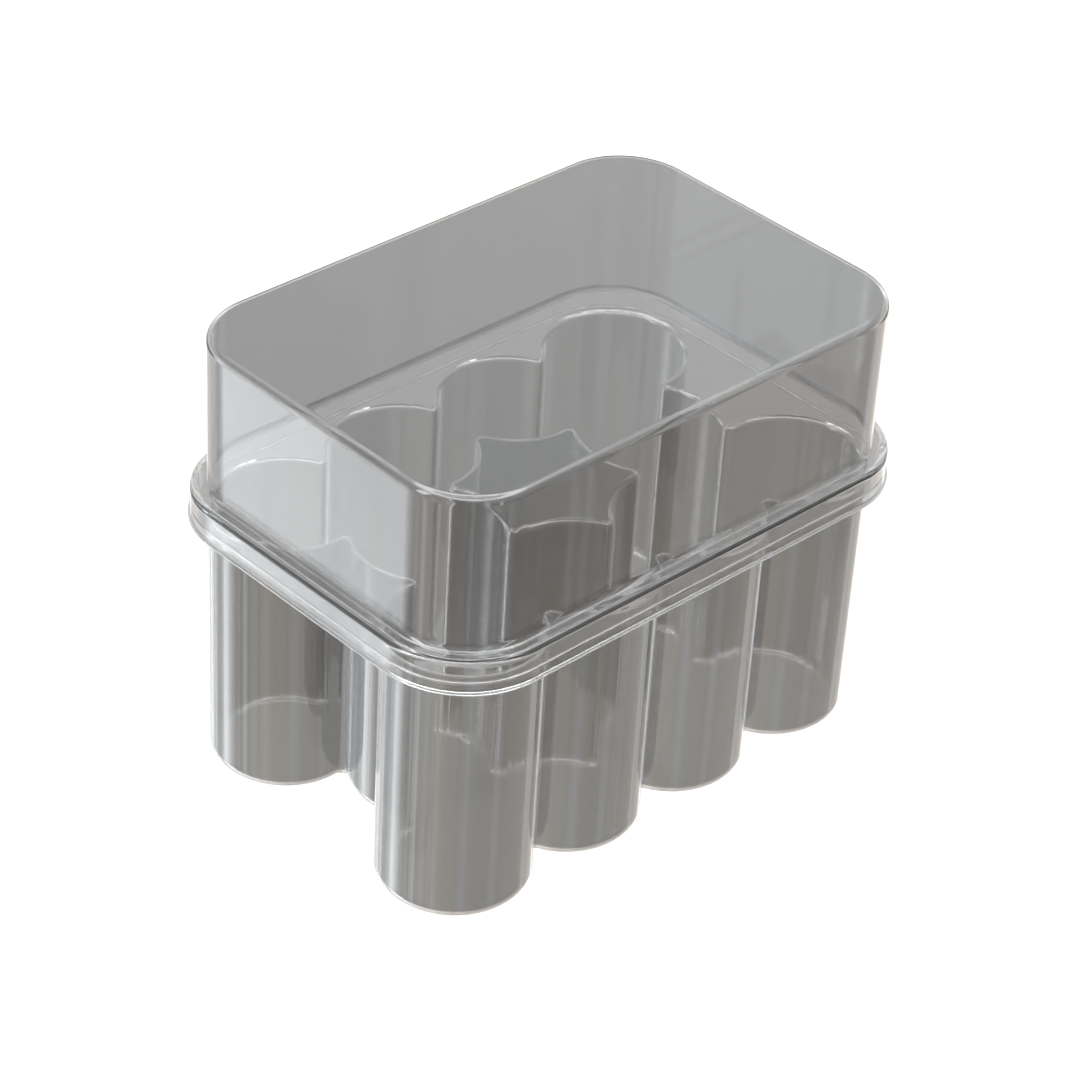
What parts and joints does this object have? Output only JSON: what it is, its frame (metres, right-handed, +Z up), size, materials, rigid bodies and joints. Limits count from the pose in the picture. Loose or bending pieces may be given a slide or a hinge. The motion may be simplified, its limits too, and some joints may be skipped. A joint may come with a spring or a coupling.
{
  "type": "vial storage container",
  "caption": "Clear thermoformed tray of joined round wells round a star post, closed by a deep clear lid that snaps over its flange.",
  "frame": {"origin": "centre of the container's plan, on the surface that its well bottoms stand on", "axes": "+X along the rows of four wells, +Y across the rows, +Z up"},
  "size_m": [0.0694, 0.049, 0.0535],
  "materials": {
    "clear_tray": "clear formed sheet",
    "clear_lid": "clear formed sheet"
  },
  "bodies": {
    "root": {"well_tray": "clear_tray", "lid": "clear_lid"}
  },
  "joints": []
}
